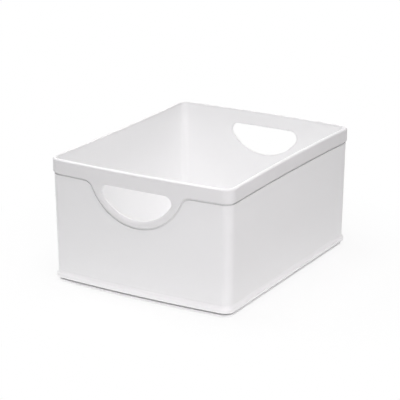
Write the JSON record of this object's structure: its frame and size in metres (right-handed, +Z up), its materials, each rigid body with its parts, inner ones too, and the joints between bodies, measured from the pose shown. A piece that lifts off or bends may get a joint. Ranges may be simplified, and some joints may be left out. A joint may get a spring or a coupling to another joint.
{
  "type": "cabinet storage bin",
  "caption": "Open-top rectangular storage bin in glossy white plastic, with a collar round its rim, a curved hand hole in each short end and a flared foot for stacking.",
  "frame": {"origin": "middle of the footprint, on the surface that the foot pads stand on", "axes": "+Z up; +Y along the bin's length, from the front hand hole to the back one; +X across it"},
  "size_m": [0.2528, 0.3196, 0.1588],
  "materials": {
    "tub_plastic": "glossy white moulded polypropylene",
    "collar_plastic": "glossy white moulded polypropylene",
    "base_plastic": "glossy white moulded polypropylene",
    "pad_rubber": "matt soft translucent-white elastomer"
  },
  "bodies": {
    "root": {"tub": "tub_plastic", "rim_collar": "collar_plastic", "base_frame": "base_plastic", "foot_pad_front_left": "pad_rubber", "foot_pad_front_right": "pad_rubber", "foot_pad_back_left": "pad_rubber", "foot_pad_back_right": "pad_rubber"}
  },
  "joints": []
}
